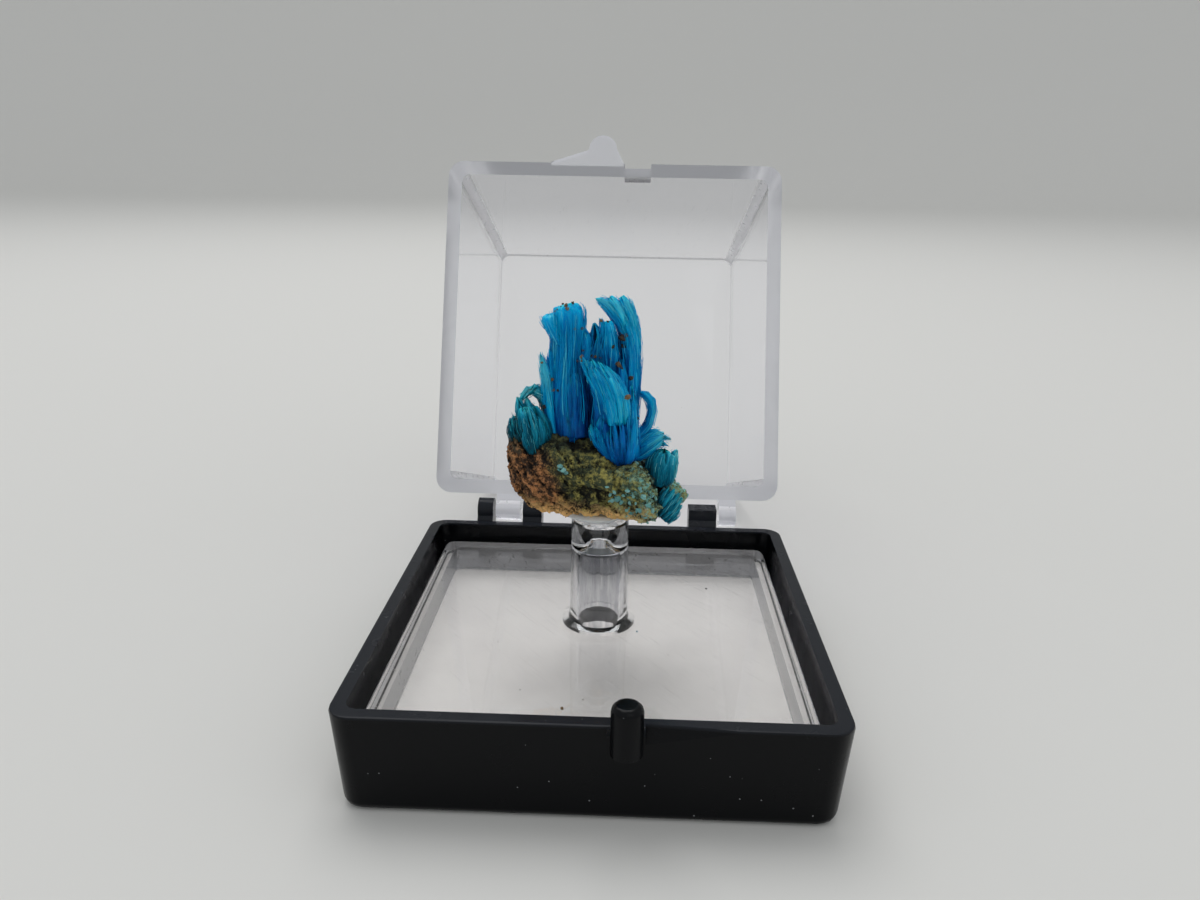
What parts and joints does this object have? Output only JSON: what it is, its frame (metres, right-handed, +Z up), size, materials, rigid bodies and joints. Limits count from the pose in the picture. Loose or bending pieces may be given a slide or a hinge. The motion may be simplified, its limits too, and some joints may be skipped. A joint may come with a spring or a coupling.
{
  "type": "boxed chalcanthite specimen",
  "caption": "Blue fibrous chalcanthite on a brown and green rock, glued to the clear post of a small display box with a black base and an open, hinged clear lid.",
  "frame": {"origin": "middle of the box's flat underside", "axes": "+Z up; +Y to the back, towards the hinge and the open lid; +X to the right as seen from the front"},
  "size_m": [0.038, 0.0855, 0.0493],
  "materials": {
    "black_plastic": "glossy moulded black",
    "white_card": "plain off-white",
    "clear_plastic": "clear, glossy",
    "mounting_glue": "milky, translucent",
    "matrix_rock": "rough brown and olive rock",
    "chalcanthite": "silky fibrous blue crystal"
  },
  "bodies": {
    "base": {"base_tray": "black_plastic", "liner_card": "white_card", "clear_insert": "clear_plastic", "glue_pad": "mounting_glue", "matrix": "matrix_rock", "crystals_main": "chalcanthite", "crystals_left": "chalcanthite", "crystals_right": "chalcanthite", "crystals_corner": "chalcanthite"},
    "lid": {"lid": "clear_plastic"}
  },
  "joints": [
    {"name": "lid_hinge", "type": "hinge", "parent": "base", "child": "lid", "pos_m": [0, 0.0207, 0.0091], "axis": [1, 0, 0], "range_deg": [0, 111.4]}
  ]
}
